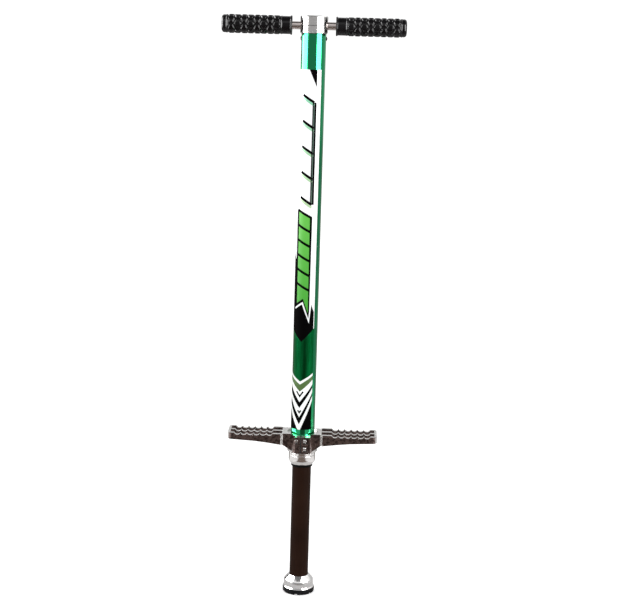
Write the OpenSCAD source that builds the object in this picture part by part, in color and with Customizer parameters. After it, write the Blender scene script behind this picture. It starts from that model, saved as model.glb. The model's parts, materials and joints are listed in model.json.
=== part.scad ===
// Pogo stick: a sprung plunger slides up into a main tube that carries a handlebar and cast foot pegs.
// +Z is up, +X runs along the handlebar and -Y is the front. The origin is the centre of the sole.

/* [Main tube] */
// Outside diameter of the main tube
tube_d = 40; // [39.5:0.5:41]
// Wall thickness of the main tube
tube_wall = 2; // [1.8:0.1:2.2]
// Height of the main tube's lower edge above the ground
tube_bottom_z = 236; // [235:0.5:238]
// Height of the main tube's upper edge above the ground
tube_top_z = 937.5; // [900:0.5:960]

/* [Graphic film] */
// Height of the film's lower edge
film_bottom_z = 288; // [286:1:320]
// Height of the film's upper edge
film_top_z = 880; // [700:1:890]
// Angle that the film covers around the tube
film_span = 124; // [60:1:200]
// Angle of the film's middle, turned from the front towards -X
film_turn = 17.5; // [0:0.5:40]
// Thickness of the film
film_t = 0.25; // [0.2:0.05:0.4]

/* [Top cap] */
// Diameter of the cap that clamps the handlebar
cap_d = 45; // [44:0.5:48]
// Height of the cap above the main tube
cap_h = 27; // [26:0.5:30]
// Depth of the cap's spigot inside the tube
spigot_h = 22.5; // [20:0.5:26]
// Distance of each cap screw from the tube's axis
cap_screw_y = 14.2; // [14:0.1:14.5]

/* [Handlebar] */
// Diameter of the bar
bar_d = 12.7; // [12:0.1:13]
// Wall thickness of the bar
bar_wall = 1.6; // [1.2:0.1:2]
// Half the length of the bar
bar_half = 144; // [140:1:146]
// Distance of each grip's inner end from the tube's axis
grip_start = 35; // [33:1:40]
// Distance of each grip's outer end from the tube's axis
grip_end = 148; // [148:1:152]
// Diameter of a grip over its pads
grip_d = 30; // [28:0.1:30]
// Diameter of the flange at each grip's inner end
grip_flange_d = 30.8; // [30.6:0.1:32]

/* [Foot pegs] */
// Distance of each peg's tip from the tube's axis
peg_reach = 124.5; // [122:0.5:128]
// Depth of the pegs from front to back
peg_depth = 50; // [48:1:52]
// Height of the tread ridges' tops
tread_z = 280.5; // [280:0.5:282]
// Width of each tread ridge
ridge_w = 6; // [5:0.5:6.5]
// Distance of the first tread scallop from the tube's axis
scallop_start = 54.6; // [54:0.1:56]
// Distance between scallops
scallop_pitch = 10.7; // [10:0.1:11]
// Depth of each scallop
scallop_depth = 3.5; // [3:0.1:4]
// Number of scallops on each ridge
scallops = 6; // [4:1:6]

/* [Clamp hub] */
// Diameter of the hub that grips the main tube
hub_d = 50; // [49:0.5:52]
// Height of the hub's lower face
hub_bottom_z = 248; // [247.5:0.5:249]
// Height of the hub's upper face
hub_top_z = 278; // [277:0.5:279]
// Distance of the clamp ears' front face from the tube's axis
ear_y = 29; // [29:0.5:30]
// Width of the slit that lets the hub close on the tube
slit_w = 2; // [1.5:0.5:2.5]
// Distance of the slit from the middle, towards -X
slit_offset = 2; // [1.5:0.1:2.5]
// Distance from the tube's axis to where the left peg's skirt begins
left_skirt_x = 34; // [32:0.5:35]
// Distance from the tube's axis to where the right peg's skirt begins
right_skirt_x = 32; // [31:0.5:33]
// Distance of the pinch bolts from the tube's axis
pinch_y = 25.2; // [25:0.1:25.5]

/* [Lower end] */
// Diameter of the collar under the hub
collar_d = 45; // [44:0.5:46]
// Height of the collar's lower face
collar_bottom_z = 226; // [225:0.1:227]
// Height of the wiper ring's lower face
wiper_bottom_z = 221.8; // [221:0.1:223]
// Height of the guide bushing's upper end
guide_top_z = 262; // [260:1:264]
// Height of the rebound bumper
bumper_h = 12; // [10:1:12]

/* [Plunger] */
// Outside diameter of the plunger tube
plunger_d = 31.75; // [31.5:0.05:31.8]
// Wall thickness of the plunger tube
plunger_wall = 2; // [1.6:0.1:2.4]
// Radial clearance of the running fits
running_gap = 0.07; // [0.05:0.01:0.09]
// Length that the plunger tube enters its head
head_socket_h = 17; // [15:1:18]
// Diameter of the head's pilot for the spring
pilot_d = 21; // [20:0.5:21]

/* [Spring] */
// Length of the spring as assembled
spring_len = 290; // [280:1:300]
// Diameter of the spring's wire
wire_d = 5.5; // [5:0.1:5.6]
// Mean diameter of the coils
coil_d = 29; // [28.5:0.1:29]
// Number of turns, with one closed turn at each end
turns = 34; // [28:1:34]

/* [Foot] */
// Diameter of the rubber tip
tip_d = 54; // [52:0.5:56]
// Height of the rubber tip
tip_h = 8.6; // [8:0.1:9]
// Diameter of the metal foot cap
foot_d = 50; // [48:0.5:51]
// Height of the foot cap's upper edge
foot_top_z = 30.2; // [29:0.1:31]
// Number of grooves across the sole's rim
tread_grooves = 6; // [4:1:8]

/* [Hidden] */

$fn = 96;
big = 400;

tube_r = tube_d / 2;
tube_bore_r = tube_r - tube_wall;
cap_top_z = tube_top_z + cap_h;
bar_z = tube_top_z + 11.5;
spigot_bottom_z = tube_top_z - spigot_h;
rivet_z = tube_top_z - 8.5;
rivet_r = 2.4;
rivet_head_r = 3.6;
cap_head_h = 5;
m5_r = 2.5;
m5_head_r = 4;

groove_floor_z = tread_z - 7.5;
floor_bottom_z = groove_floor_z - 2.5;
peg_front = peg_depth / 2;
skirt_drop = 18.7;
wing_y = peg_front - 4.1;
step_half = 2;
pinch_zs = [hub_top_z - 7.8, hub_bottom_z + 8.8];
slit_x = -slit_offset;
ear_left = -11.5;
ear_right = 14;
pocket_end_x = 11.5;
head_seat_x = 2.3;
pinch_head_h = 5;
nut_x = -11.2;
nut_h = 4;

guide_r = tube_bore_r;
collar_shelf_z = collar_bottom_z + 2;
shelf_r = 16.6;
plunger_r = plunger_d / 2;
slide_bore_r = plunger_r + running_gap;
bumper_top_z = guide_top_z + bumper_h;
head_bottom_z = bumper_top_z + 0.3;
tube_end_z = head_bottom_z + head_socket_h;
head_top_z = tube_end_z + 9;
pilot_h = 12;
washer_h = 3;
spring_z = head_top_z + washer_h;
seat_z = spring_z + spring_len;
seat_h = 12;
seat_pilot_h = 12;
spacer_d = 30;
pin_z = head_bottom_z + 8;

foot_bottom_z = tip_h;
foot_floor_z = tip_h + 3.6;
tip_bolt_r = 4;
tip_recess_h = 4.6;
tip_washer_h = 1.6;

silver = [0.80, 0.79, 0.78];
steel = [0.62, 0.62, 0.64];
tube_green = [0.02, 0.45, 0.27];
black_rubber = [0.07, 0.07, 0.08];

// Points of an arc about centre c, from angle a to angle b
function arc(c, r, a, b, n = 8) =
  [for (i = [0 : n]) c + r * [cos(a + (b - a) * i / n), sin(a + (b - a) * i / n)]];

// A round tube between two heights
module pipe(outer_r, inner_r, z0, z1) {
  translate([0, 0, z0])
    difference() {
      cylinder(r = outer_r, h = z1 - z0);
      translate([0, 0, -1])
        cylinder(r = inner_r, h = z1 - z0 + 2);
    }
}

// A rod along X, from x0 to x1
module rod_x(r, x0, x1, y = 0, z = 0, sides = 96) {
  translate([x0, y, z])
    rotate([0, 90, 0])
      cylinder(r = r, h = x1 - x0, $fn = sides);
}

// A box given by its two corners
module block(a, b) {
  translate(a)
    cube(b - a);
}

// A side view in X and Z, given a depth from y = -depth to y = depth
module front_profile(points, depth) {
  translate([0, depth, 0])
    rotate([90, 0, 0])
      linear_extrude(2 * depth)
        polygon(points);
}

module main_tube() {
  color(tube_green)
    difference() {
      pipe(tube_r, tube_bore_r, tube_bottom_z, tube_top_z);
      rod_x(rivet_r, -tube_d, tube_d, z = rivet_z);
    }
}

module graphic_film() {
  color([0.86, 0.90, 0.86])
    rotate([0, 0, -90 - film_turn - film_span / 2])
      rotate_extrude(angle = film_span)
        translate([tube_r, film_bottom_z])
          square([film_t, film_top_z - film_bottom_z]);
}

// What the handlebar and the screws take out of both cap halves
module cap_cuts() {
  rod_x(bar_d / 2, -cap_d, cap_d, z = bar_z);
  for (s = [-1, 1]) {
    rod_x(bar_d / 2 + 2.6, min(s * 21, s * cap_d), max(s * 21, s * cap_d), z = bar_z);
    translate([0, s * cap_screw_y, spigot_bottom_z + 12])
      cylinder(r = m5_r, h = big);
    translate([0, s * cap_screw_y, cap_top_z - cap_head_h])
      cylinder(r = m5_head_r + 0.2, h = big);
  }
}

module cap_base() {
  color(silver)
    difference() {
      union() {
        rotate_extrude()
          polygon([
            [0, tube_top_z], [cap_d / 2 - 0.6, tube_top_z], [cap_d / 2, tube_top_z + 0.6],
            [cap_d / 2, bar_z - 0.4], [cap_d / 2 - 0.4, bar_z], [0, bar_z]
          ]);
        translate([0, 0, spigot_bottom_z])
          cylinder(r = tube_bore_r, h = spigot_h + 1);
      }
      cap_cuts();
      translate([0, 0, spigot_bottom_z - 1])
        cylinder(r = 10.5, h = spigot_h);
      rod_x(rivet_r, -tube_d, tube_d, z = rivet_z);
    }
}

module cap_clamp() {
  color(silver)
    difference() {
      rotate_extrude()
        polygon([
          [0, bar_z], [cap_d / 2 - 0.4, bar_z], [cap_d / 2, bar_z + 0.4],
          [cap_d / 2, cap_top_z - 1.5], [cap_d / 2 - 1.5, cap_top_z], [0, cap_top_z]
        ]);
      cap_cuts();
    }
}

module cap_screws() {
  color(steel)
    for (s = [-1, 1])
      translate([0, s * cap_screw_y, 0])
        difference() {
          union() {
            translate([0, 0, spigot_bottom_z + 14])
              cylinder(r = m5_r, h = cap_top_z - cap_head_h - spigot_bottom_z - 13);
            translate([0, 0, cap_top_z - cap_head_h])
              cylinder(r = m5_head_r, h = cap_head_h - 0.3);
          }
          translate([0, 0, cap_top_z - 3])
            cylinder(r = 2.3, h = 5, $fn = 6);
        }
}

// Domed rivets through the tube wall into the cap's spigot
module cap_rivets() {
  dome_h = 1.7;
  dome_r = (rivet_head_r * rivet_head_r + dome_h * dome_h) / (2 * dome_h);
  color(steel)
    for (s = [-1, 1])
      mirror([s < 0 ? 1 : 0, 0, 0])
        difference() {
          union() {
            rod_x(rivet_r, 12.5, tube_r, z = rivet_z);
            translate([tube_r - 0.4, 0, rivet_z])
              rotate([0, 90, 0])
                rotate_extrude()
                  polygon(concat([[0, 0], [rivet_head_r, 0]],
                    arc([0, 0.4 + dome_h - dome_r], dome_r, acos(rivet_head_r / dome_r), 90)));
          }
          difference() {
            pipe(tube_r, tube_bore_r, rivet_z - 10, rivet_z + 10);
            rod_x(rivet_r, 0, tube_d, z = rivet_z);
          }
        }
}

module handlebar() {
  color(steel)
    difference() {
      rod_x(bar_d / 2, -bar_half, bar_half, z = bar_z);
      rod_x(bar_d / 2 - bar_wall, -big, big, z = bar_z);
    }
}

// A grip is a closed-end sleeve with an inner flange, a bead and a groove near its end
module grip(s) {
  r = grip_d / 2;
  flange_r = grip_flange_d / 2;
  round_r = 5;
  bead_x = grip_start + 16.5;
  groove_x = grip_end - 8;
  color(black_rubber)
    translate([0, 0, bar_z])
      rotate([0, s * 90, 0])
        rotate_extrude()
          polygon(concat(
            [
              [bar_d / 2, grip_start], [flange_r - 0.6, grip_start], [flange_r, grip_start + 0.6],
              [flange_r, grip_start + 2.4], [r - 0.6, grip_start + 3.2], [r - 0.6, bead_x - 0.6],
              [r, bead_x], [r, groove_x - 0.8], [r - 1, groove_x - 0.4],
              [r - 1, groove_x + 0.4], [r, groove_x + 0.8]
            ],
            arc([r - round_r, grip_end - round_r], round_r, 0, 90),
            [[0, grip_end], [0, bar_half], [bar_d / 2, bar_half]]
          ));
}

module left_grip() {
  grip(-1);
}

module right_grip() {
  grip(1);
}

// Edges of the peg seen from the front: a flat tread above and a skirt that deepens towards the hub
function peg_side(skirt_x) = [
  [18, tread_z], [peg_reach, tread_z], [peg_reach, tread_z - 11], [80, tread_z - 13.2],
  [60, tread_z - 15.2], [skirt_x, tread_z - skirt_drop], [18, tread_z - skirt_drop]
];

// The peg's outline from above, but for its round corners: it widens by a slanted step at skirt_x
function peg_plan(skirt_x, corner_r) = [
  [18, -wing_y], [skirt_x - step_half, -wing_y], [skirt_x + step_half, -peg_front],
  [peg_reach - corner_r, -peg_front], [peg_reach, corner_r - peg_front],
  [peg_reach, peg_front - corner_r], [peg_reach - corner_r, peg_front],
  [skirt_x + step_half, peg_front], [skirt_x - step_half, wing_y], [18, wing_y]
];

// One peg on the +X side, before the hub is bored
module peg(skirt_x) {
  corner_r = 7;
  scallop_r = (pow(scallop_pitch / 2, 2) + pow(scallop_depth, 2)) / (2 * scallop_depth);
  channel_w = peg_front - 1.5 * ridge_w;
  groove_in = 29;
  groove_out = peg_reach - 4;
  difference() {
    intersection() {
      front_profile(peg_side(skirt_x), peg_front);
      union() {
        linear_extrude(big)
          polygon(peg_plan(skirt_x, corner_r));
        for (s = [-1, 1])
          translate([peg_reach - corner_r, s * (peg_front - corner_r), 0])
            cylinder(r = corner_r, h = big);
      }
    }
    for (i = [0 : scallops - 1])
      translate([scallop_start + i * scallop_pitch, peg_front + 1, tread_z - scallop_depth + scallop_r])
        rotate([90, 0, 0])
          cylinder(r = scallop_r, h = peg_depth + 2);
    for (s = [-1, 1]) {
      mid_y = s * (ridge_w / 2 + channel_w / 2);
      block([groove_in, mid_y - channel_w / 2, groove_floor_z],
        [groove_out, mid_y + channel_w / 2, big]);
      block([skirt_x + 5, mid_y - channel_w / 2 - 1, 0],
        [groove_out, mid_y + channel_w / 2 + 1, floor_bottom_z]);
    }
  }
}

// The web that blends the hub into the peg on the +X side, with faces that lean in below the middle
module hub_wing(skirt_x) {
  lean_z = hub_top_z - 9.5;
  side = [
    [0, hub_bottom_z + 2], [17, hub_bottom_z + 2.5], [21, hub_bottom_z + 5],
    [skirt_x, tread_z - skirt_drop], [skirt_x, tread_z], [0, tread_z]
  ];
  end = [
    [wing_y, tread_z], [wing_y, lean_z], [wing_y - 3, hub_bottom_z],
    [3 - wing_y, hub_bottom_z], [-wing_y, lean_z], [-wing_y, tread_z]
  ];
  intersection() {
    front_profile(side, wing_y);
    rotate([90, 0, 90])
      linear_extrude(skirt_x)
        polygon(end);
  }
}

// Slit, bolt bores, head pockets and nut pocket
module clamp_cuts() {
  pocket_z = 5;
  pocket_y = pinch_y - m5_head_r - 0.2;
  block([slit_x - slit_w / 2, -ear_y - 1, 0], [slit_x + slit_w / 2, -15, big]);
  for (z = pinch_zs) {
    rod_x(m5_r, ear_left - 1, ear_right + 1, y = -pinch_y, z = z);
    block([head_seat_x, -ear_y - 1, z - pocket_z], [pocket_end_x, -pocket_y, z + pocket_z]);
  }
  block([nut_x - 0.3, -ear_y - 1, pinch_zs[0] - pocket_z],
    [nut_x + nut_h + 0.3, -pocket_y, pinch_zs[0] + pocket_z]);
}

module peg_casting() {
  color(silver)
    difference() {
      union() {
        translate([0, 0, hub_bottom_z])
          cylinder(d = hub_d, h = hub_top_z - hub_bottom_z);
        block([ear_left, -ear_y, hub_bottom_z + 1], [ear_right, -15, hub_top_z - 0.8]);
        hub_wing(right_skirt_x);
        peg(right_skirt_x);
        mirror([1, 0, 0]) {
          hub_wing(left_skirt_x);
          peg(left_skirt_x);
        }
      }
      translate([0, 0, hub_bottom_z - 5])
        cylinder(r = tube_r, h = 60);
      translate([0, 0, hub_top_z])
        cylinder(r = hub_d / 2 + 0.5, h = 20);
      clamp_cuts();
    }
}

module pinch_bolts() {
  color(steel)
    for (z = pinch_zs)
      difference() {
        union() {
          rod_x(m5_r, ear_left, head_seat_x + 1, y = -pinch_y, z = z);
          rod_x(m5_head_r, head_seat_x, head_seat_x + pinch_head_h, y = -pinch_y, z = z);
        }
        rod_x(2.3, head_seat_x + 2.5, head_seat_x + pinch_head_h + 1, y = -pinch_y, z = z, sides = 6);
      }
}

module pinch_nut() {
  color(steel)
    difference() {
      rod_x(4.3, nut_x, nut_x + nut_h, y = -pinch_y, z = pinch_zs[0], sides = 6);
      rod_x(m5_r, -20, 0, y = -pinch_y, z = pinch_zs[0]);
    }
}

// A turned sleeve on the tube's lower end, with two grooves near its top and a rounded lower edge
module lower_collar() {
  r = collar_d / 2;
  groove_depth = 0.6;
  groove_w = 1;
  groove_zs = [hub_bottom_z - 6, hub_bottom_z - 1.2];
  edge_r = 12;
  color(silver)
    rotate_extrude()
      polygon(concat(
        [[shelf_r, collar_bottom_z]],
        arc([r - edge_r, collar_bottom_z + edge_r * sin(46)], edge_r, -46, 0),
        [
          for (z = groove_zs)
            each [
              [r, z - groove_w / 2], [r - groove_depth, z - groove_w / 2],
              [r - groove_depth, z + groove_w / 2], [r, z + groove_w / 2]
            ]
        ],
        [
          [r, hub_bottom_z], [tube_r, hub_bottom_z], [tube_r, tube_bottom_z], [guide_r, tube_bottom_z],
          [guide_r, collar_shelf_z], [shelf_r, collar_shelf_z]
        ]
      ));
}

module guide_bushing() {
  color([0.16, 0.16, 0.17])
    pipe(guide_r, slide_bore_r, collar_shelf_z, guide_top_z);
}

// A lipped ring that closes the collar's mouth
module wiper_ring() {
  color(black_rubber)
    union() {
      pipe(18, slide_bore_r, wiper_bottom_z, collar_bottom_z);
      pipe(shelf_r, slide_bore_r, collar_bottom_z, collar_shelf_z);
    }
}

module rebound_bumper() {
  color([0.45, 0.20, 0.12])
    pipe(guide_r - 0.3, plunger_r + 0.4, guide_top_z, bumper_top_z);
}

module spacer_tube() {
  color([0.70, 0.70, 0.72])
    pipe(spacer_d / 2, spacer_d / 2 - 2, seat_z + seat_h, spigot_bottom_z);
}

module spring_top_seat() {
  color([0.85, 0.84, 0.80])
    union() {
      pipe(guide_r - 0.1, 5, seat_z, seat_z + seat_h);
      pipe(pilot_d / 2, 5, seat_z - seat_pilot_h, seat_z + 1);
    }
}

// Height of the wire's middle after t turns, with one closed turn at each end
function coil_height(t) =
  t < 1 ? wire_d * (t + 0.5)
  : t > turns - 1 ? spring_len - wire_d * (turns - t + 0.5)
  : wire_d * 1.5 + (spring_len - 3 * wire_d) * (t - 1) / (turns - 2);

module spring() {
  steps = 12;
  sides = 6;
  rings = turns * steps;
  // Point j of ring i of the wire
  function wire_point(i, j) =
    let (
      around = 360 * i / steps,
      across = 360 * j / sides,
      r = coil_d / 2 + wire_d / 2 * cos(across),
      z = spring_z + coil_height(i / steps) + wire_d / 2 * sin(across)
    ) [r * cos(around), r * sin(around), z];
  color(steel)
    polyhedron(
      points = [for (i = [0 : rings]) for (j = [0 : sides - 1]) wire_point(i, j)],
      faces = concat(
        [[for (j = [0 : sides - 1]) j]],
        [for (i = [0 : rings - 1]) for (j = [0 : sides - 1]) let (k = (j + 1) % sides)
          [i * sides + j, (i + 1) * sides + j, (i + 1) * sides + k, i * sides + k]],
        [[for (j = [sides - 1 : -1 : 0]) rings * sides + j]]
      )
    );
}

module thrust_washer() {
  color([0.75, 0.66, 0.40])
    pipe(17, pilot_d / 2 + running_gap, head_top_z, spring_z);
}

module plunger_tube() {
  color([0.12, 0.08, 0.06])
    difference() {
      pipe(plunger_r, plunger_r - plunger_wall, foot_floor_z, tube_end_z);
      rod_x(m5_r, -tube_d, tube_d, z = pin_z);
    }
}

// A piston that guides the plunger's upper end in the main tube and carries the spring
module plunger_head() {
  color([0.88, 0.87, 0.82])
    difference() {
      union() {
        translate([0, 0, head_bottom_z])
          cylinder(r = tube_bore_r - running_gap, h = head_top_z - head_bottom_z);
        translate([0, 0, head_top_z])
          cylinder(r = pilot_d / 2, h = pilot_h);
      }
      translate([0, 0, head_bottom_z - 1])
        cylinder(r = plunger_r, h = head_socket_h + 1);
      rod_x(m5_r, -tube_d, tube_d, z = pin_z);
      translate([0, 0, tube_end_z - 1])
        cylinder(r = 4, h = 60);
    }
}

module head_pin() {
  color(steel)
    rod_x(m5_r, -tube_bore_r + 0.8, tube_bore_r - 0.8, z = pin_z);
}

// The metal foot: a domed cup around the plunger tube's end, with a threaded spigot inside it
module foot_cap() {
  r = foot_d / 2;
  bore_r = plunger_r - plunger_wall;
  color(silver)
    rotate_extrude()
      polygon([
        [tip_bolt_r, foot_bottom_z], [r + 1.5, foot_bottom_z], [r + 1.5, foot_bottom_z + 1],
        [r, foot_bottom_z + 2.6],
        [r, foot_top_z - 9], [r - 0.8, foot_top_z - 7.6], [plunger_r + 1.3, foot_top_z],
        [plunger_r, foot_top_z], [plunger_r, foot_floor_z], [bore_r, foot_floor_z],
        [bore_r, foot_top_z + 4], [tip_bolt_r, foot_top_z + 4]
      ]);
}

module rubber_tip() {
  r = tip_d / 2;
  groove_w = 5;
  groove_h = 2.3;
  color(black_rubber)
    difference() {
      rotate_extrude()
        polygon([
          [tip_bolt_r, tip_recess_h], [11, tip_recess_h], [11, 0], [r - 1.5, 0], [r - 0.5, 1], [r, tip_h - 1.4],
          [r - 0.5, tip_h], [tip_bolt_r, tip_h]
        ]);
      for (i = [0 : tread_grooves - 1])
        rotate([0, 0, 23 + 360 / tread_grooves * i])
          block([15, -groove_w / 2, -1], [r + 5, groove_w / 2, groove_h]);
    }
}

module tip_washer() {
  color(steel)
    pipe(9.5, tip_bolt_r, tip_recess_h - tip_washer_h, tip_recess_h);
}

module tip_bolt() {
  head_z = tip_recess_h - tip_washer_h;
  color(steel)
    difference() {
      union() {
        translate([0, 0, head_z - 2.4])
          cylinder(r = 6.8, h = 2.4);
        translate([0, 0, head_z - 1])
          cylinder(r = tip_bolt_r, h = foot_top_z + 1 - head_z);
      }
      translate([0, 0, -1])
        cylinder(r = 2.9, h = 2.6, $fn = 6);
    }
}

main_tube();
graphic_film();
cap_base();
cap_clamp();
cap_screws();
cap_rivets();
handlebar();
left_grip();
right_grip();
peg_casting();
pinch_bolts();
pinch_nut();
lower_collar();
guide_bushing();
wiper_ring();
rebound_bumper();
spacer_tube();
spring_top_seat();
spring();
thrust_washer();
plunger_tube();
plunger_head();
head_pin();
foot_cap();
rubber_tip();
tip_washer();
tip_bolt();
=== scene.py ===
"""Looks of the pogo stick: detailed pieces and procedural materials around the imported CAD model."""

import json
import math

import bmesh
import bpy
from mathutils import Matrix, Vector


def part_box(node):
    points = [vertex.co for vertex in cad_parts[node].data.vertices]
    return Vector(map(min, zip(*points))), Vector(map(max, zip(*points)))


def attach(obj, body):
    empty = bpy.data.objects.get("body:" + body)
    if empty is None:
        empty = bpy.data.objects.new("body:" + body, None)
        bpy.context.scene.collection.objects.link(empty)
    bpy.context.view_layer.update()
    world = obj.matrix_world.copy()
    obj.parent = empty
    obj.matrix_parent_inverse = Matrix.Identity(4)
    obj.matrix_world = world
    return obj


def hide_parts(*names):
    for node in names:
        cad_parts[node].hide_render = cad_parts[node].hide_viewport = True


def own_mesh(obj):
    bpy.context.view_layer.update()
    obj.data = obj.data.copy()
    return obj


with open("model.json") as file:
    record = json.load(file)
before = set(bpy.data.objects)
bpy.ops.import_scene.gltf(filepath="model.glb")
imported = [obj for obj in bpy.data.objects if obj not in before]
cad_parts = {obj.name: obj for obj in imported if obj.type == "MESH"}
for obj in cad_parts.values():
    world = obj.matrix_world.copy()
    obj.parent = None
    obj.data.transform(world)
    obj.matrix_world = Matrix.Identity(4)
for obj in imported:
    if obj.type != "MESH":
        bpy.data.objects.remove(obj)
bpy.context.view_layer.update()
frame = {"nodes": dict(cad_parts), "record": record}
nodes = frame["nodes"]

MM = 0.001

# ---------------------------------------------------------------- sizes read from the frame

tube_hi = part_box("main_tube")[1]
film_lo, film_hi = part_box("graphic_film")
bar_lo, bar_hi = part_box("handlebar")
grip_lo, grip_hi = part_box("right_grip")
cap_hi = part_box("cap_base")[1]
collar_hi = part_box("lower_collar")[1]
cast_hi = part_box("peg_casting")[1]
spring_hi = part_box("spring")[1]
TUBE_R = tube_hi.x
BAR_Z = (bar_lo.z + bar_hi.z) / 2
BAR_R = (bar_hi.z - bar_lo.z) / 2


# ---------------------------------------------------------------- shader helpers

class Shader:
    """A material with one Principled shader and short calls for the nodes around it."""

    def __init__(self, name, color, metallic=0.0, roughness=0.5, **sockets):
        self.mat = bpy.data.materials.new(name)
        self.mat.use_nodes = True
        self.tree = self.mat.node_tree
        self.bsdf = self.tree.nodes["Principled BSDF"]
        self.set("Base Color", (*color, 1.0))
        self.set("Metallic", metallic)
        self.set("Roughness", roughness)
        for key, value in sockets.items():
            self.set(key.replace("_", " "), value)
        self.mat.diffuse_color = (*color, 1.0)

    def set(self, socket, value):
        self.bsdf.inputs[socket].default_value = value

    def link(self, source, target):
        self.tree.links.new(source, target)

    def node(self, kind, **values):
        made = self.tree.nodes.new(kind)
        for key, value in values.items():
            if key in made.inputs:
                made.inputs[key].default_value = value
            else:
                setattr(made, key, value)
        return made

    def position(self, scale=(1, 1, 1)):
        """The point on the object in metres, stretched by scale."""
        where = self.node("ShaderNodeTexCoord")
        mapping = self.node("ShaderNodeMapping")
        mapping.inputs["Scale"].default_value = scale
        self.link(where.outputs["Object"], mapping.inputs["Vector"])
        return mapping.outputs["Vector"]

    def noise(self, scale, detail=4.0, stretch=(1, 1, 1), roughness=0.5):
        made = self.node("ShaderNodeTexNoise", Scale=scale, Detail=detail, Roughness=roughness)
        self.link(self.position(stretch), made.inputs["Vector"])
        return made.outputs["Fac"]

    def remap(self, value, low, high, to_low, to_high):
        made = self.node("ShaderNodeMapRange")
        for key, number in zip(("From Min", "From Max", "To Min", "To Max"), (low, high, to_low, to_high)):
            made.inputs[key].default_value = number
        self.link(value, made.inputs["Value"])
        return made.outputs["Result"]

    def math(self, operation, a, b=0.0):
        made = self.node("ShaderNodeMath", operation=operation)
        for slot, value in zip(made.inputs, (a, b)):
            if isinstance(value, (int, float)):
                slot.default_value = value
            else:
                self.link(value, slot)
        return made.outputs["Value"]

    def mix(self, factor, a, b):
        """A colour that goes from a to b as the factor goes from 0 to 1."""
        made = self.node("ShaderNodeMix", data_type="RGBA")
        for slot, value in ((made.inputs[0], factor), (made.inputs[6], a), (made.inputs[7], b)):
            if isinstance(value, (int, float)):
                slot.default_value = value
            elif isinstance(value, tuple):
                slot.default_value = (*value, 1.0)
            else:
                self.link(value, slot)
        return made.outputs[2]

    def color(self, source):
        self.link(source, self.bsdf.inputs["Base Color"])

    def rough(self, source):
        self.link(source, self.bsdf.inputs["Roughness"])

    def bump(self, *heights, distance=0.0002, strength=1.0):
        """Adds the heights, each a pair of source and depth share, as one bump."""
        total = None
        for source, share in heights:
            part = self.math("MULTIPLY", source, share)
            total = part if total is None else self.math("ADD", total, part)
        made = self.node("ShaderNodeBump", Distance=distance, Strength=strength)
        self.link(total, made.inputs["Height"])
        self.link(made.outputs["Normal"], self.bsdf.inputs["Normal"])


def green_anodised():
    """Drawn and dyed aluminium: fine lines along the tube under a clear glossy skin."""
    s = Shader("green_anodised", (0.018, 0.30, 0.118), 1.0, 0.08, Coat_Weight=0.1, Coat_Roughness=0.03)
    lines = s.noise(60, 6, (40, 40, 0.6))
    cloud = s.noise(9, 3)
    s.color(s.mix(s.remap(cloud, 0.3, 0.7, 0, 1), (0.015, 0.29, 0.112), (0.02, 0.34, 0.138)))
    s.rough(s.remap(lines, 0.3, 0.7, 0.06, 0.12))
    s.bump((lines, 0.012), (s.noise(900, 2), 0.004))
    return s.mat


def turned_aluminium(name, tint=(0.80, 0.785, 0.77), roughness=0.13):
    """Lathe-turned aluminium: fine rings around the stick and a few soft marks."""
    s = Shader(name, tint, 1.0, roughness)
    rings = s.noise(1.0, 3, (30, 30, 9000), 0.7)
    marks = s.noise(420, 5)
    dark = tuple(0.86 * c for c in tint)
    s.color(s.mix(s.remap(marks, 0.35, 0.7, 0, 1), tint, dark))
    s.rough(s.remap(rings, 0.3, 0.7, roughness - 0.05, roughness + 0.05))
    s.bump((rings, 0.05), (marks, 0.02))
    return s.mat


def cast_aluminium():
    """Tumbled casting: dark mottled sides; the treads and the steps carry a painted highlight, as faces
    turned up or sideways are coloured bright.
    """
    s = Shader("cast_aluminium", (0.2, 0.16, 0.15), 1.0, 0.18)
    waves = s.noise(60, 4)
    pores = s.noise(1500, 3)
    grain = s.noise(210, 8)
    geometry = s.node("ShaderNodeNewGeometry")
    facing = s.node("ShaderNodeSeparateXYZ")
    s.link(geometry.outputs["Normal"], facing.inputs["Vector"])
    # painted highlight: faces that turn upward or sideways are coloured bright, as if lit
    top = s.remap(facing.outputs["Z"], 0.3, 0.7, 0, 1)
    step = s.remap(s.math("ABSOLUTE", facing.outputs["X"]), 0.60, 0.70, 0, 1)
    painted_highlight = s.math("MAXIMUM", top, step)
    body = s.mix(s.remap(grain, 0.38, 0.60, 0, 1), (0.26, 0.20, 0.185), (0.06, 0.043, 0.039))
    s.color(s.mix(painted_highlight, body, (0.56, 0.55, 0.54)))
    s.rough(s.remap(grain, 0.3, 0.7, 0.22, 0.36))
    s.bump((waves, 0.3), (s.remap(pores, 0.62, 0.72, 1, 0), 0.08), (grain, 0.06), distance=0.0003)
    return s.mat


def plated_steel(name, tint, roughness, stretch):
    """Plated steel with polishing lines along the stretched direction."""
    s = Shader(name, tint, 1.0, roughness)
    lines = s.noise(70, 5, stretch)
    s.color(s.mix(s.remap(lines, 0.35, 0.7, 0, 1), tint, tuple(0.82 * c for c in tint)))
    s.rough(s.remap(lines, 0.3, 0.7, roughness - 0.06, roughness + 0.1))
    s.bump((lines, 0.05))
    return s.mat


def rubber(name, tint=(0.0022, 0.0018, 0.0022), roughness=0.15, specular=0.2):
    """Moulded rubber: a fine stipple, faint mould bloom and a slightly uneven sheen."""
    s = Shader(name, tint, 0.0, roughness, Specular_IOR_Level=specular)
    bloom = s.noise(45, 5)
    stipple = s.noise(2600, 3)
    s.color(s.mix(s.remap(bloom, 0.35, 0.75, 0, 1), tint, tuple(2.4 * c for c in tint)))
    s.rough(s.remap(bloom, 0.3, 0.7, roughness - 0.08, roughness + 0.12))
    s.bump((stipple, 0.05), (s.noise(320, 3), 0.06))
    return s.mat


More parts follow.
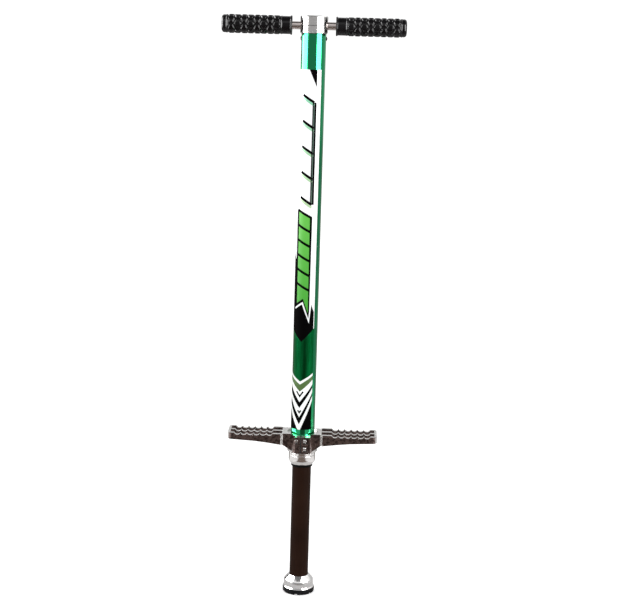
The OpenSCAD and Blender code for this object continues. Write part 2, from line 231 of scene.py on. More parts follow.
def powder_coat():
    """Dark brown-black powder coat with a light orange-peel surface."""
    s = Shader("powder_coat", (0.018, 0.009, 0.006), 0.0, 0.34, Specular_IOR_Level=0.03)
    peel = s.noise(700, 3)
    cloud = s.noise(14, 4)
    s.color(s.mix(s.remap(cloud, 0.3, 0.7, 0, 1), (0.012, 0.005, 0.003), (0.020, 0.0085, 0.005)))
    s.rough(s.remap(peel, 0.3, 0.7, 0.28, 0.42))
    s.bump((peel, 0.12))
    return s.mat


def moulded(name, tint, roughness=0.45):
    """Moulded engineering plastic with faint flow marks."""
    s = Shader(name, tint, 0.0, roughness)
    flow = s.noise(90, 5, (1, 1, 0.3))
    s.color(s.mix(s.remap(flow, 0.3, 0.7, 0, 1), tint, tuple(0.85 * c for c in tint)))
    s.rough(s.remap(flow, 0.3, 0.7, roughness - 0.08, roughness + 0.1))
    s.bump((s.noise(1500, 3), 0.08))
    return s.mat


def ink(name, low, high, start, end, roughness=0.4, specular=0.3):
    """Printed vinyl: a colour that blends upwards from start to end, under a satin clear layer."""
    s = Shader(name, high, 0.0, roughness, Specular_IOR_Level=specular)
    where = s.node("ShaderNodeSeparateXYZ")
    s.link(s.position(), where.inputs["Vector"])
    rise = s.remap(where.outputs["Z"], start, end, 0, 1)
    grain = s.noise(1400, 2)
    faded = s.mix(rise, low, high)
    s.color(s.mix(s.remap(grain, 0.35, 0.75, 0, 0.12), faded, tuple(0.7 * c for c in high)))
    s.rough(s.remap(s.noise(60, 4), 0.3, 0.7, roughness - 0.05, roughness + 0.08))
    s.bump((s.noise(500, 3), 0.04), distance=0.0001)
    return s.mat


def film_green():
    """Clear dark green film over bare metal, with faint streaks along the tube."""
    s = Shader("film_green", (0.0, 0.1, 0.025), 1.0, 0.2, Coat_Weight=0.08, Coat_Roughness=0.1)
    streaks = s.noise(60, 4, (20, 20, 0.6))
    s.color(s.mix(s.remap(streaks, 0.3, 0.7, 0, 1), (0.0, 0.10, 0.02), (0.001, 0.17, 0.045)))
    s.rough(s.remap(streaks, 0.3, 0.7, 0.14, 0.22))
    s.bump((s.noise(500, 3), 0.04), distance=0.0001)
    return s.mat


# ---------------------------------------------------------------- mesh helpers

def new_object(name, mesh, material):
    made = bpy.data.objects.new(name, mesh)
    bpy.context.scene.collection.objects.link(made)
    mesh.materials.clear()
    mesh.materials.append(material)
    return made


# edges that are rounded, edges that are dropped as flat, and edges that shade smooth on curved pieces
SHARP_EDGE = math.radians(32)
FLAT_EDGE = math.radians(0.5)
ROUND_FORM = math.radians(60)


def to_object(name, bm, material, smooth_angle=math.radians(35)):
    bmesh.ops.recalc_face_normals(bm, faces=bm.faces)
    for face in bm.faces:
        face.smooth = True
    for edge in bm.edges:
        edge.smooth = len(edge.link_faces) == 2 and edge.calc_face_angle(0) < smooth_angle
    mesh = bpy.data.meshes.new(name)
    bm.to_mesh(mesh)
    bm.free()
    return new_object(name, mesh, material)


def apply_modifiers(thing):
    depsgraph = bpy.context.evaluated_depsgraph_get()
    final = bpy.data.meshes.new_from_object(thing.evaluated_get(depsgraph))
    thing.modifiers.clear()
    thing.data = final


def softened(node, material, width, segments=2):
    """A copy of a CAD node's shape with its sharp edges rounded, which then stands for that node."""
    bm = bmesh.new()
    bm.from_mesh(nodes[node].data)
    bmesh.ops.remove_doubles(bm, verts=bm.verts, dist=1e-6)
    bmesh.ops.dissolve_limit(bm, angle_limit=FLAT_EDGE, verts=bm.verts, edges=bm.edges)
    made = to_object(node + "_piece", bm, material)
    bevel = made.modifiers.new("round", "BEVEL")
    bevel.width = width
    bevel.segments = segments
    bevel.limit_method = "ANGLE"
    bevel.angle_limit = SHARP_EDGE
    bevel.harden_normals = True
    bevel.use_clamp_overlap = True
    bevel.miter_outer = "MITER_ARC"
    apply_modifiers(made)
    return stand_in(made, node)


def stand_in(piece, node):
    """Lets a piece take a CAD node's place on its body, and hides the node."""
    body = next(b for b, members in frame["record"]["behaviour"]["bodies"].items() if node in members)
    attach(piece, body)
    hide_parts(node)
    return piece


def paint(node, material):
    """Gives a carried-over CAD node its finish."""
    nodes[node].data.materials.clear()
    nodes[node].data.materials.append(material)


# ---------------------------------------------------------------- grips

# all in mm; distances run along the grip from its inner or its outer end
GRIP_START, GRIP_END = grip_lo.x / MM, grip_hi.x / MM
FLANGE_R = (grip_hi.z - grip_lo.z) / 2 / MM
FLANGE_LENGTH = 3.0
FLANGE_EDGE = 0.7
PAD_R = FLANGE_R - 0.4
BAND_R = PAD_R - 0.8
PAD_PITCH = 10.4
PADS_ROUND = 5
PADS_FROM = 19.0
PADS_TO = 9.8
FIRST_PAD = 24.4
GROOVE_DEPTH = 1.6
INNER_BEAD = 16.8
OUTER_BEAD = 8.4
BEAD_RISE = 0.7
BEAD_SPREAD = 0.55
END_ROUND = 4.6


def smoothstep(low, high, x):
    t = min(1.0, max(0.0, (x - low) / (high - low)))
    return t * t * (3 - 2 * t)


def hex_distance(along, around, pad_pitch, pads_round):
    """0 at the middle of a pad and 1 at its cell's edge; along in columns, around in turns."""
    best = 9.0
    for column in (math.floor(along), math.floor(along) + 1):
        shift = 0.5 * (column % 2)
        row = round(around * pads_round - shift)
        x = (along - column) * pad_pitch
        y = (around * pads_round - shift - row) * pad_pitch * 2 / math.sqrt(3)
        best = min(best, max(abs(y), abs(y) / 2 + abs(x) * math.sqrt(3) / 2) / (pad_pitch / math.sqrt(3)))
    return best


def grip_radius(a, turn):
    """Radius in mm of the grip at distance a from the stick's axis, in mm."""
    lo, hi = GRIP_START, GRIP_END
    if a < lo + FLANGE_LENGTH:
        rim = FLANGE_EDGE * (1 - smoothstep(0, 0.6, a - lo))
        return FLANGE_R - rim - (FLANGE_R - BAND_R) * smoothstep(FLANGE_LENGTH - 0.8, FLANGE_LENGTH, a - lo)
    starts = smoothstep(lo + PADS_FROM, lo + PADS_FROM + 1.2, a)
    ends = smoothstep(hi - PADS_TO - 1.2, hi - PADS_TO, a)
    column = (a - (lo + FIRST_PAD)) / PAD_PITCH
    d = hex_distance(column, turn, PAD_PITCH, PADS_ROUND)
    r = BAND_R + starts * (1 - ends) * (PAD_R - BAND_R - GROOVE_DEPTH * smoothstep(0.60, 0.88, d))
    for bead in (lo + INNER_BEAD, hi - OUTER_BEAD):
        r += BEAD_RISE * math.exp(-((a - bead) / BEAD_SPREAD) ** 2)
    fall = a - (hi - END_ROUND)
    if fall > 0:
        r -= END_ROUND - math.sqrt(max(0.0, END_ROUND ** 2 - fall ** 2))
    return min(r, PAD_R)


def make_grip(name, node, side, material):
    """Padded grip: a tube skin whose radius follows grip_radius, closed at both ends."""
    rings, around = 270, 180
    bm = bmesh.new()
    rows = []
    inner = BAR_R / MM

    def ring_at(a, radius_of):
        row = []
        for k in range(around):
            turn = k / around
            r = radius_of(turn)
            t = 2 * math.pi * turn
            row.append(bm.verts.new((side * a * MM, -r * math.cos(t) * MM, BAR_Z + r * math.sin(t) * MM)))
        return row

    rows.append(ring_at(GRIP_START + 4, lambda turn: inner))
    rows.append(ring_at(GRIP_START, lambda turn: inner))
    rows.append(ring_at(GRIP_START, lambda turn: inner + 3))
    for i in range(rings + 1):
        a = GRIP_START + (GRIP_END - GRIP_START) * i / rings
        rows.append(ring_at(a, lambda turn, a=a: grip_radius(a, turn)))
    for share in (0.75, 0.5, 0.25, 0.1):
        end_r = grip_radius(GRIP_END, 0)
        rows.append(ring_at(GRIP_END, lambda turn, share=share, end_r=end_r: end_r * share))
    for below, above in zip(rows, rows[1:]):
        for k in range(around):
            n = (k + 1) % around
            bm.faces.new((below[k], below[n], above[n], above[k]))
    bm.faces.new(rows[-1])
    bm.faces.new(rows[0])
    return stand_in(to_object(name, bm, material, ROUND_FORM), node)


# ---------------------------------------------------------------- spring

SPRING_TURNS = 34
WIRE_R = 2.75 * MM
# from the foot of the top seat's spigot up to the shoulder that the spring bears on
SEAT_SPIGOT = 12 * MM


def make_spring(material):
    """Round wire wound with closed end turns, between the thrust washer and the top seat."""
    turns, wire_r = SPRING_TURNS, WIRE_R
    steps, sides = 40, 14
    coil_r = spring_hi.x - wire_r
    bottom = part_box("thrust_washer")[1].z
    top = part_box("spring_top_seat")[0].z + SEAT_SPIGOT
    length = top - bottom

    def height(t):
        if t < 1:
            return wire_r * (2 * t + 1)
        if t > turns - 1:
            return length - wire_r * (2 * (turns - t) + 1)
        return 3 * wire_r + (length - 6 * wire_r) * (t - 1) / (turns - 2)

    bm = bmesh.new()
    rows = []
    for i in range(turns * steps + 1):
        t = i / steps
        around = 2 * math.pi * t
        row = []
        for k in range(sides):
            across = 2 * math.pi * k / sides
            r = coil_r + wire_r * math.cos(across)
            z = bottom + height(t) + wire_r * math.sin(across)
            row.append(bm.verts.new((r * math.cos(around), r * math.sin(around), z)))
        rows.append(row)
    for a, b in zip(rows, rows[1:]):
        for k in range(sides):
            n = (k + 1) % sides
            bm.faces.new((a[k], a[n], b[n], b[k]))
    bm.faces.new(rows[0])
    bm.faces.new(rows[-1])
    piece = stand_in(to_object("spring_coil", bm, material, ROUND_FORM), "spring")
    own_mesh(piece)
    return piece


# ---------------------------------------------------------------- printed film

FILM_TOP, FILM_FOOT = film_hi.z / MM, film_lo.z / MM
FILM_R = TUBE_R / MM + 0.25  # the film is 0.25 mm thick
FILM_LEFT = math.degrees(math.asin(max(-1.0, film_lo.x / MM / FILM_R)))
FILM_RIGHT = math.degrees(math.asin(min(1.0, film_hi.x / MM / FILM_R)))
FILM_TURN = math.radians(-(FILM_LEFT + FILM_RIGHT) / 2)
FILM_HALF = (FILM_RIGHT - FILM_LEFT) / 2
INK_STEP = 3  # degrees between the cuts that bend a shape round the tube
INK_LAYER = 0.04
INK_ROOT = 0.02
# each edge of the film as a point on it and the direction out of the film
FILM_EDGES = (
    ((FILM_HALF, 0, 0), (1, 0, 0)),
    ((-FILM_HALF, 0, 0), (-1, 0, 0)),
    ((0, FILM_TOP, 0), (0, 1, 0)),
    ((0, FILM_FOOT, 0), (0, -1, 0)),
)


def stroke(points, width):
    """Outline in degrees and mm of a line through the points, width mm across, with square ends."""
    per_degree = math.pi * FILM_R / 180
    flat = [Vector((s * per_degree, z)) for s, z in points]
    left, right = [], []
    for i, p in enumerate(flat):
        before = (p - flat[i - 1]).normalized() if i else None
        after = (flat[i + 1] - p).normalized() if i < len(flat) - 1 else None
        along = ((before or after) + (after or before)).normalized()
        across = Vector((-along.y, along.x))
        miter = 1 / max(0.35, across.dot(Vector((-(after or before).y, (after or before).x))))
        left.append(p + across * width / 2 * miter)
        right.append(p - across * width / 2 * miter)
    return [(v.x / per_degree, v.y) for v in left + right[::-1]]


def printed(name, shapes, layer, material):
    """Thin shapes in ink on the film, given as outlines in degrees from its middle and mm of height."""
    bm = bmesh.new()
    for shape in shapes:
        part = bmesh.new()
        part.faces.new([part.verts.new((s, z, 0)) for s, z in shape])
        bmesh.ops.triangulate(part, faces=part.faces)
        for edge, outward in FILM_EDGES:
            everything = part.verts[:] + part.edges[:] + part.faces[:]
            bmesh.ops.bisect_plane(part, geom=everything, plane_co=edge, plane_no=outward, clear_outer=True)
        lo = min(v.co.x for v in part.verts)
        hi = max(v.co.x for v in part.verts)
        for line in range(math.ceil(lo / INK_STEP), math.floor(hi / INK_STEP) + 1):
            everything = part.verts[:] + part.edges[:] + part.faces[:]
            cut = (line * INK_STEP, 0, 0)
            bmesh.ops.bisect_plane(part, geom=everything, plane_co=cut, plane_no=(1, 0, 0))
        bmesh.ops.remove_doubles(part, verts=part.verts, dist=1e-4)
        bmesh.ops.dissolve_degenerate(part, edges=part.edges, dist=1e-4)
        made = bmesh.ops.extrude_face_region(part, geom=part.faces[:], use_keep_orig=True)
        raised = {v for v in made["geom"] if isinstance(v, bmesh.types.BMVert)}
        for v in part.verts:
            r = FILM_R + (INK_LAYER * layer if v in raised else -INK_ROOT)
            angle = math.radians(v.co.x) - FILM_TURN
            v.co = Vector((r * math.sin(angle), -r * math.cos(angle), v.co.y)) * MM
        bmesh.ops.recalc_face_normals(part, faces=part.faces)
        mesh = bpy.data.meshes.new("part")
        part.to_mesh(mesh)
        part.free()
        bm.from_mesh(mesh)
        bpy.data.meshes.remove(mesh)
    mesh = bpy.data.meshes.new(name)
    bm.to_mesh(mesh)
    bm.free()
    piece = new_object(name, mesh, material)
    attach(piece, "frame")
    return piece


# The print, from the top down. Heights are mm, and a drop is counted down from the film's upper edge.
# Places across the film are degrees from its middle.
SLANT = 12  # how far a slanted line falls from left to right
PANEL_DROP = 40
PANELS = 4
PANEL_PITCH = 41
PANEL_LEFT, PANEL_RIGHT = -24, 30
RAIL_INNER, RAIL_OUTER = 25, 36
BLOCK_DROP = 225
BLOCK_BARS = 6
BAR_PITCH = 24
BLOCK_LEFT, BLOCK_RIGHT = -36, 30
ARROW_DROP = 378
ARROW_DEPTH = 65
ARROW_LEFT, ARROW_RIGHT = -40, 58
ARROW_RISE = 22  # from the arrow's point up to its sides
ARROW_NOTCH = [(ARROW_LEFT, -10), (0, 0), (32, -30), (40, 0)]
# the chevrons stand on the film's lower edge
CHEVRON_TIP = 65
CHEVRONS = 3
CHEVRON_PITCH = 28


def head_wedge():
    """A black wedge that hangs from the film's upper edge, right of the middle."""
    return [(5, FILM_TOP), (40, FILM_TOP), (40, FILM_TOP - 28)]


def panel_gaps(rise, width):
    """Slanted lines across the white, one above each panel and one below the last."""
    tops = [FILM_TOP - PANEL_DROP - k * PANEL_PITCH + rise for k in range(PANELS + 1)]
    return [stroke([(PANEL_LEFT, top), (PANEL_RIGHT, top - SLANT)], width) for top in tops]


def panel_rail(across, width):
    """A line down the right ends of the panels."""
    top = FILM_TOP - PANEL_DROP - SLANT
    return stroke([(across, top), (across, top - PANELS * PANEL_PITCH)], width)


def block():
    """The green block: a slanted upper edge, and a foot that follows the arrow block's zigzag."""
    top = FILM_TOP - BLOCK_DROP
    foot = FILM_TOP - ARROW_DROP + 4
    return [(BLOCK_LEFT, top), (BLOCK_RIGHT, top - SLANT), (BLOCK_RIGHT, foot - 26),
            (0, foot), (BLOCK_LEFT, foot - 9)]


def block_bars(width):
    """Slanted bars across the green block, with a rim all round it."""
    rim = block()
    tops = [FILM_TOP - BLOCK_DROP - k * BAR_PITCH for k in range(1, BLOCK_BARS)]
    bars = [stroke([(BLOCK_LEFT, top), (BLOCK_RIGHT, top - SLANT)], width) for top in tops]
    return bars + [stroke(rim + rim[:1], width)]


def notch():
    """The zigzag that the green block and the arrow block share."""
    return [(across, FILM_TOP - ARROW_DROP + rise) for across, rise in ARROW_NOTCH]


def arrow():
    """The black block under the green one: it points down, and runs up along the green block's left side."""
    top = FILM_TOP - ARROW_DROP
    foot = top - ARROW_DEPTH
    upper = [(-FILM_HALF, top + 80), (ARROW_LEFT, top + 70)] + notch() + [(ARROW_RIGHT, top - 15)]
    return upper + [(ARROW_RIGHT, foot + ARROW_RISE), (0, foot), (-FILM_HALF, foot + ARROW_RISE)]


def window():
    """The clear green window from the arrow block down to the film's lower edge."""
    foot = FILM_TOP - ARROW_DROP - ARROW_DEPTH
    side = foot + ARROW_RISE
    return [(-FILM_HALF, side), (0, foot), (ARROW_RIGHT, side), (FILM_HALF, side),
            (FILM_HALF, FILM_FOOT), (-FILM_HALF, FILM_FOOT)]


def foot_black():
    """The black that the chevrons stand on, with its point up in the window."""
    return [(-FILM_HALF, FILM_FOOT), (-FILM_HALF, FILM_FOOT + 88), (0, FILM_FOOT + 70),
            (60, FILM_FOOT + 88), (60, FILM_FOOT)]


def vee(tip, left_rise, right_rise, thick, end_thick):
    """A band from both sides of the film down to a point at its middle.

    tip is the height of the upper edge's point above the film's lower edge.
    """
    tip += FILM_FOOT
    left, right = tip + left_rise, tip + right_rise
    return [(-FILM_HALF, left), (0, tip), (FILM_HALF, right),
            (FILM_HALF, right - end_thick), (0, tip - thick), (-FILM_HALF, left - end_thick)]


def chevrons():
    """Nested white chevrons: each lower one rises more steeply, most of all to the right."""
    bands = []
    for k in range(CHEVRONS):
        bands.append(vee(CHEVRON_TIP - k * CHEVRON_PITCH, 20 + 8 * k, 20 + 14 * k, 18 - 2 * k, 8))
    return bands


def chevron_marks():
    """A small black vee in the point of each chevron but the lowest."""
    marks = []
    for k in range(CHEVRONS - 1):
        point = FILM_FOOT + CHEVRON_TIP - k * CHEVRON_PITCH - 8
        side = 16 - 8 * k
        marks.append(stroke([(-side, point + side / 2), (0, point), (side, point + side / 2)], 2.5))
    return marks


def make_film():
    """All printed layers, from the clear window up to the marks on the chevrons."""
    film = film_lo.z, film_hi.z
    lower = film_lo.z + 0.2, film_lo.z + 0.4
    upper = film_hi.z - 0.2, film_hi.z
    foot = film_lo.z, film_lo.z + 0.1
    black = ink("ink_black", (0.0015, 0.0015, 0.0015), (0.002, 0.001, 0.0015), *film, 0.6, 0.004)
    leaf = ink("ink_leaf", (0.05, 0.32, 0.03), (0.13, 0.50, 0.07), *lower, 0.5, 0.1)
    shade = ink("ink_shade", (0.30, 0.46, 0.24), (0.05, 0.10, 0.075), *lower, 0.5, 0.2)
    light = ink("ink_light", (0.42, 0.60, 0.34), (0.15, 0.55, 0.36), *upper)
    olive = ink("ink_olive", (0.045, 0.085, 0.02), (0.08, 0.15, 0.045), *foot, 0.5, 0.1)
    lines = panel_gaps(0, 4) + [panel_rail(RAIL_OUTER, 3.2), panel_rail(RAIL_INNER, 1.8)] + block_bars(4)
    printed("film_deep_green", [window()], 1, film_green())
    printed("film_black", [head_wedge(), arrow(), foot_black()], 2, black)
    printed("film_leaf_green", [block()], 2, leaf)
    printed("film_shade", [panel_rail((RAIL_INNER + RAIL_OUTER) / 2, 4)], 2, shade)
    printed("film_light_green", panel_gaps(-4.5, 3.5), 2, light)
    printed("film_olive", [vee(78, 16, 16, 12, 16)], 3, olive)
    printed("film_line", lines, 3, black)
    printed("film_white", chevrons() + [vee(82, 14, 14, 5, 4), stroke(notch(), 2.6)], 4, FILM)
    printed("film_inset", chevron_marks(), 5, black)


# ---------------------------------------------------------------- painted shadow in the gaps

def turned_ring(name, radius, inner, low, high, material):
    """A plain ring round the stick, riding with the frame."""
    sides = 96
    bm = bmesh.new()
    rows = []
    for r, z in ((inner, low), (radius, low), (radius, high), (inner, high)):
        angles = [2 * math.pi * k / sides for k in range(sides)]
        rows.append([bm.verts.new((r * math.cos(a), r * math.sin(a), z)) for a in angles])
    for this, other in zip(rows, rows[1:] + rows[:1]):
        for k in range(sides):
            n = (k + 1) % sides
            bm.faces.new((this[k], this[n], other[n], other[k]))
    piece = to_object(name, bm, material)
    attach(piece, "frame")
    return piece


# the clamp's slit, in the casting's front
SLIT_X = -2 * MM
SLIT_WIDTH = 1.9 * MM
SLIT_DEPTH = 7 * MM
SLIT_MIDDLE = TUBE_R + 4.2 * MM  # in front of the stick's axis
GAP_LINE = 1.1 * MM


def make_dark_gaps():
    """Painted shadow: dark pieces that stand for the shade in the gap between the cap's halves, under the
    cap and in the clamp's slit.
    """
    # painted shadow: a dark ring at the cap's parting line
    turned_ring("cap_joint_shadow", cap_hi.x + 0.03 * MM, cap_hi.x - 1 * MM,
                BAR_Z - GAP_LINE / 2, BAR_Z + GAP_LINE / 2, SHADOW)

    # painted shadow: a dark block that fills the clamp's slit
    low, high = collar_hi.z + 1.2 * MM, cast_hi.z - 4 * MM
    box = bmesh.new()
    bmesh.ops.create_cube(box, size=1)
    for v in box.verts:
        v.co.x = SLIT_X + v.co.x * SLIT_WIDTH
        v.co.y = -SLIT_MIDDLE + v.co.y * SLIT_DEPTH
        v.co.z = (low + high) / 2 + v.co.z * (high - low)
    slit_fill = to_object("slit_shadow", box, SHADOW)
    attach(slit_fill, "frame")

    # painted shadow: a dark ring where the cap sits on the tube
    turned_ring("cap_foot_shadow", TUBE_R + 0.7 * MM, TUBE_R - 0.5 * MM,
                tube_hi.z - GAP_LINE, tube_hi.z, SHADOW)


# ---------------------------------------------------------------- build

SILVER = turned_aluminium("turned_aluminium")
FOOT_SILVER = turned_aluminium("foot_aluminium", (0.78, 0.77, 0.765), 0.11)
CAST = cast_aluminium()
GREEN = green_anodised()
FASTENER = plated_steel("zinc_plate", (0.72, 0.71, 0.70), 0.18, (1, 1, 1))
BAR = plated_steel("bar_plate", (0.55, 0.49, 0.47), 0.16, (0.5, 20, 20))
GRIP = rubber("grip_rubber")
TIP = rubber("tip_rubber", (0.004, 0.004, 0.0045), 0.45, 0.06)
WIPER = rubber("wiper_rubber", (0.002, 0.002, 0.002), 0.45, 0.04)
BUMPER = rubber("bumper_urethane", (0.22, 0.07, 0.035), 0.4, 0.5)
PLUNGER = powder_coat()
SPRING = plated_steel("spring_wire", (0.34, 0.34, 0.36), 0.32, (3, 3, 3))
SPACER = plated_steel("spacer_aluminium", (0.66, 0.66, 0.68), 0.34, (20, 20, 0.5))
BRASS = plated_steel("washer_brass", (0.66, 0.45, 0.18), 0.28, (3, 3, 3))
NYLON = moulded("black_nylon", (0.02, 0.02, 0.021))
ACETAL = moulded("natural_acetal", (0.74, 0.72, 0.66))
# painted shadow: the matte near-black of the pieces that stand for shade in the gaps
SHADOW = moulded("painted_shadow_black", (0.006, 0.005, 0.005), 0.6)
RIVET = plated_steel("black_oxide", (0.035, 0.035, 0.035), 0.3, (1, 1, 1))
FILM = ink("film_white", (0.80, 0.84, 0.82), (0.86, 0.85, 0.88), film_lo.z, film_hi.z, 0.3)

paint("main_tube", GREEN)
paint("graphic_film", FILM)
paint("handlebar", BAR)
paint("cap_rivets", RIVET)
paint("guide_bushing", NYLON)
paint("rebound_bumper", BUMPER)
paint("spacer_tube", SPACER)
paint("spring_top_seat", ACETAL)
paint("thrust_washer", BRASS)
paint("plunger_tube", PLUNGER)
paint("plunger_head", ACETAL)
paint("head_pin", FASTENER)
paint("tip_washer", FASTENER)

softened("cap_base", SILVER, 0.35 * MM)
softened("cap_clamp", SILVER, 0.35 * MM)
softened("cap_screws", FASTENER, 0.25 * MM)
softened("peg_casting", CAST, 0.7 * MM, 3)
softened("pinch_bolts", FASTENER, 0.3 * MM)
softened("pinch_nut", FASTENER, 0.3 * MM)
softened("lower_collar", SILVER, 0.25 * MM)
softened("wiper_ring", WIPER, 0.5 * MM)
softened("foot_cap", FOOT_SILVER, 0.5 * MM, 3)
softened("rubber_tip", TIP, 0.4 * MM, 2)
softened("tip_bolt", FASTENER, 0.3 * MM)

make_grip("left_grip_piece", "left_grip", -1, GRIP)
make_grip("right_grip_piece", "right_grip", 1, GRIP)
make_spring(SPRING)
make_film()
make_dark_gaps()


# ---------------------------------------------------------------- stage, light and camera

TURN = math.radians(1.5)
PITCH = math.radians(9.85)
ROLL = math.radians(1.68)
CAMERA_DISTANCE = 2.279
CAMERA_HEIGHT = 0.900
CAMERA_SIDE = 0.0109
FOCAL_WIDTHS = 2.236  # the focal length, in widths of the picture
SENSOR = 36


def make_camera():
    """A camera in front of the stick and near the bar's height, looking down and leaning a little."""
    right = Vector((math.cos(TURN), math.sin(TURN), 0))
    ahead = Vector((-math.sin(TURN), math.cos(TURN), 0))
    upward = ahead * math.sin(PITCH) + Vector((0, 0, math.cos(PITCH)))
    forward = ahead * math.cos(PITCH) - Vector((0, 0, math.sin(PITCH)))
    across = right * math.cos(ROLL) + upward * math.sin(ROLL)
    up = upward * math.cos(ROLL) - right * math.sin(ROLL)
    data = bpy.data.cameras.new("camera")
    data.sensor_width = SENSOR
    data.lens = SENSOR * FOCAL_WIDTHS
    data.clip_start, data.clip_end = 0.05, 60
    camera = bpy.data.objects.new("camera", data)
    bpy.context.scene.collection.objects.link(camera)
    turn = Matrix((across, up, -forward)).transposed().to_4x4()
    place = right * CAMERA_SIDE - ahead * CAMERA_DISTANCE + Vector((0, 0, CAMERA_HEIGHT))
    camera.matrix_world = Matrix.Translation(place) @ turn
    bpy.context.scene.camera = camera


def softbox(name, azimuth, distance, low, high, half_angle, radiance):
    """A tall soft light; azimuth is in degrees from the camera's side, positive to the right."""
    a = math.radians(azimuth)
    data = bpy.data.lights.new(name, "AREA")
    data.shape = "RECTANGLE"
    data.size = 2 * distance * math.tan(math.radians(half_angle))
    data.size_y = high - low
    data.energy = radiance * math.pi * data.size * data.size_y
    lamp = bpy.data.objects.new(name, data)
    bpy.context.scene.collection.objects.link(lamp)
    place = Vector((math.sin(a), -math.cos(a), 0)) * distance
    place.z = (low + high) / 2
    aim = Vector((-place.x, -place.y, 0))
    lamp.location = place
    lamp.rotation_euler = aim.to_track_quat("-Z", "Y").to_euler()
    lamp.visible_camera = False
    return lamp


FRONT_RADIANCE = 0.42
SIDE_RADIANCE = 0.7
TOP_RADIANCE = 1.3
ZENITH_RADIANCE = 0.2
GAP_RADIANCE = 0.12
DIFFUSE_RADIANCE = 1.0
BACKGROUND_RADIANCE = 1.1
SOFTBOX_RADIANCE = 18
FILL_RADIANCE = 0.6


def make_world():
    """A light tent with an open front.

    Reflections see it darker in front, at one gap behind and at the zenith. Diffuse light and the camera
    each see it evenly white.
    """
    world = bpy.data.worlds.new("studio")
    bpy.context.scene.world = world
    world.use_nodes = True
    tree = world.node_tree
    tree.nodes.clear()
    link = tree.links.new
    where = tree.nodes.new("ShaderNodeTexCoord")
    split = tree.nodes.new("ShaderNodeSeparateXYZ")
    link(where.outputs["Generated"], split.inputs["Vector"])

    def ramp(source, low, high, to_low, to_high):
        made = tree.nodes.new("ShaderNodeMapRange")
        made.interpolation_type = "SMOOTHSTEP"
        for key, number in zip(("From Min", "From Max", "To Min", "To Max"), (low, high, to_low, to_high)):
            made.inputs[key].default_value = number
        link(source, made.inputs["Value"])
        return made.outputs["Result"]

    def pair(operation, a, b):
        made = tree.nodes.new("ShaderNodeMath")
        made.operation = operation
        link(a, made.inputs[0])
        link(b, made.inputs[1])
        return made.outputs["Value"]

    def choose(factor, a, b):
        made = tree.nodes.new("ShaderNodeMix")
        made.data_type = "FLOAT"
        link(factor, made.inputs[0])
        for slot, value in ((made.inputs[2], a), (made.inputs[3], b)):
            if isinstance(value, (int, float)):
                slot.default_value = value
            else:
                link(value, slot)
        return made.outputs[0]

    side = ramp(split.outputs["Y"], -0.8, -0.62, FRONT_RADIANCE, SIDE_RADIANCE)
    rising = ramp(split.outputs["Z"], 0.30, 0.55, 0.0, 1.0)
    zenith = ramp(split.outputs["Z"], 0.74, 0.86, 0.0, 1.0)
    left = ramp(split.outputs["X"], -0.9, -0.82, 0.0, 1.0)
    left_end = ramp(split.outputs["X"], -0.62, -0.54, 1.0, 0.0)
    behind = ramp(split.outputs["Y"], 0.3, 0.45, 0.0, 1.0)
    gap = pair("MULTIPLY", pair("MULTIPLY", left, left_end), behind)
    glow = choose(gap, side, GAP_RADIANCE)
    glow = choose(rising, glow, TOP_RADIANCE)
    glow = choose(zenith, glow, ZENITH_RADIANCE)
    rays = tree.nodes.new("ShaderNodeLightPath")
    lit = choose(rays.outputs["Is Diffuse Ray"], glow, DIFFUSE_RADIANCE)
    seen = choose(rays.outputs["Is Camera Ray"], lit, BACKGROUND_RADIANCE)
    background = tree.nodes.new("ShaderNodeBackground")
    link(seen, background.inputs["Strength"])
    background.inputs["Color"].default_value = (1, 1, 1, 1)
    output = tree.nodes.new("ShaderNodeOutputWorld")
    link(background.outputs["Background"], output.inputs["Surface"])


def flat_plane(name, x0, x1, y0, y1, z, material):
    """A level rectangle of the stage."""
    bm = bmesh.new()
    corners = [bm.verts.new((x, y, z)) for x, y in ((x0, y0), (x1, y0), (x1, y1), (x0, y1))]
    bm.faces.new(corners)
    mesh = bpy.data.meshes.new(name)
    bm.to_mesh(mesh)
    bm.free()
    return new_object(name, mesh, material)


STAGE_SIZE = 12
FLOOR_FRONT = -0.42
CARD_GLOW = 0.1


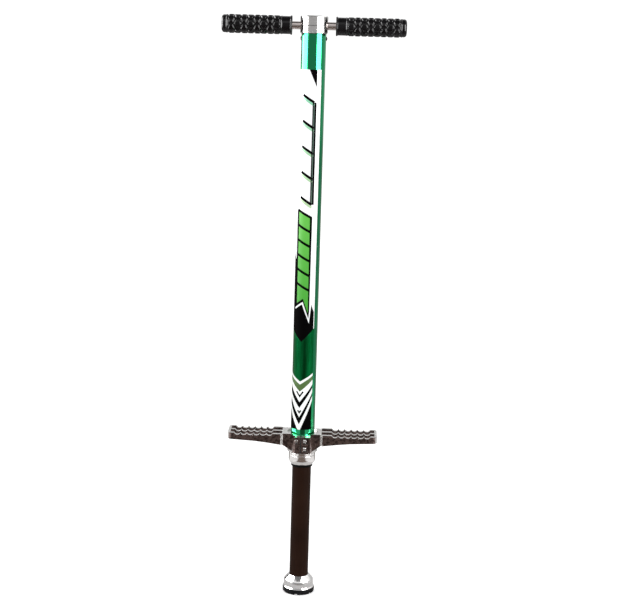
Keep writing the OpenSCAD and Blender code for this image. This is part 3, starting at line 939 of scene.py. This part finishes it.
def stage_card(name, half_width, front, back, depth, tint):
    """A card below the floor that only reflections see, like the dark room behind a camera."""
    s = Shader(name, tint, 0.0, 0.9, Specular_IOR_Level=0.0, Emission_Strength=CARD_GLOW)
    s.set("Emission Color", (*tint, 1.0))
    s.color(s.mix(s.remap(s.noise(4, 3), 0.3, 0.7, 0, 1), tint, tuple(0.9 * c for c in tint)))
    card = flat_plane(name, -half_width, half_width, front, back, -depth * MM, s.mat)
    card.visible_camera = False
    card.visible_diffuse = False
    card.visible_shadow = False


def make_floor():
    """A pale floor that the camera sees, and the cards that reflections see in its place."""
    s = Shader("pale_floor", (0.93, 0.93, 0.93), 0.0, 0.7, Emission_Strength=0.3)
    s.set("Emission Color", (1.0, 1.0, 1.0, 1.0))
    s.color(s.mix(s.remap(s.noise(3, 3), 0.3, 0.7, 0, 1), (0.92, 0.92, 0.92), (0.95, 0.95, 0.95)))
    floor = flat_plane("floor", -STAGE_SIZE, STAGE_SIZE, FLOOR_FRONT, STAGE_SIZE, -0.2 * MM, s.mat)
    floor.visible_glossy = False
    stage_card("mirrored_floor", STAGE_SIZE, -STAGE_SIZE, STAGE_SIZE, 0.6, (0.36, 0.35, 0.34))
    stage_card("mirrored_front", 0.42, -2.4, -0.30, 0.3, (0.16, 0.125, 0.11))
    stage_card("mirrored_sides", 1.6, -1.25, 0.5, 0.4, (0.80, 0.79, 0.79))
    stage_card("mirrored_foot", 0.30, -0.30, 0.30, 0.2, (0.56, 0.55, 0.55))


def make_lights():
    """On each side a soft box that only reflections see, and a weaker one that only lights surfaces."""
    for side, azimuth, half_angle in (("left", -88.5, 32.5), ("right", 54.6, 22)):
        shine = softbox(side + "_softbox", azimuth, 1.25, 0.40, 1.9, half_angle, SOFTBOX_RADIANCE)
        shine.visible_diffuse = False
        fill = softbox(side + "_fill", azimuth * 0.6, 1.6, 0.2, 1.9, 30, FILL_RADIANCE)
        fill.visible_glossy = False


make_camera()
make_world()
make_floor()
make_lights()
bpy.context.scene.view_settings.view_transform = "Standard"
